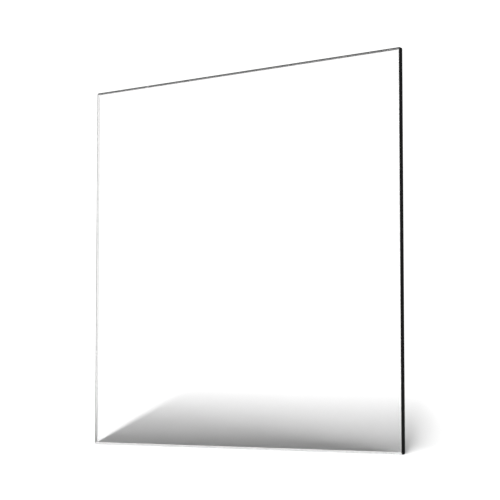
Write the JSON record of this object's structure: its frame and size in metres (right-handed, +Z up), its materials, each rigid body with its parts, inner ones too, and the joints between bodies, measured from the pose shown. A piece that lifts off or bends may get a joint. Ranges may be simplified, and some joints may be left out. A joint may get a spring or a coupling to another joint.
{
  "type": "clear acrylic sheet",
  "caption": "Flat square sheet of clear acrylic with chamfered edges, standing on its lower edge, with a peel-off clear masking film on each face.",
  "frame": {"origin": "middle of the lower edge, on the surface that the sheet stands on", "axes": "+X along the width, +Y from the front face to the rear face, +Z up the height"},
  "size_m": [0.4, 0.0062, 0.4],
  "materials": {
    "clear_acrylic": "clear, polished faces, machined edges",
    "masking_film": "clear film, slightly soft gloss"
  },
  "bodies": {
    "sheet": {"acrylic_sheet": "clear_acrylic"},
    "front_film": {"front_masking_film": "masking_film"},
    "rear_film": {"rear_masking_film": "masking_film"}
  },
  "joints": [
    {"name": "front_film_peel", "type": "slide", "parent": "sheet", "child": "front_film", "axis": [0, -1, 0], "range_m": [0, 0.08]},
    {"name": "rear_film_peel", "type": "slide", "parent": "sheet", "child": "rear_film", "axis": [0, 1, 0], "range_m": [0, 0.08]}
  ]
}
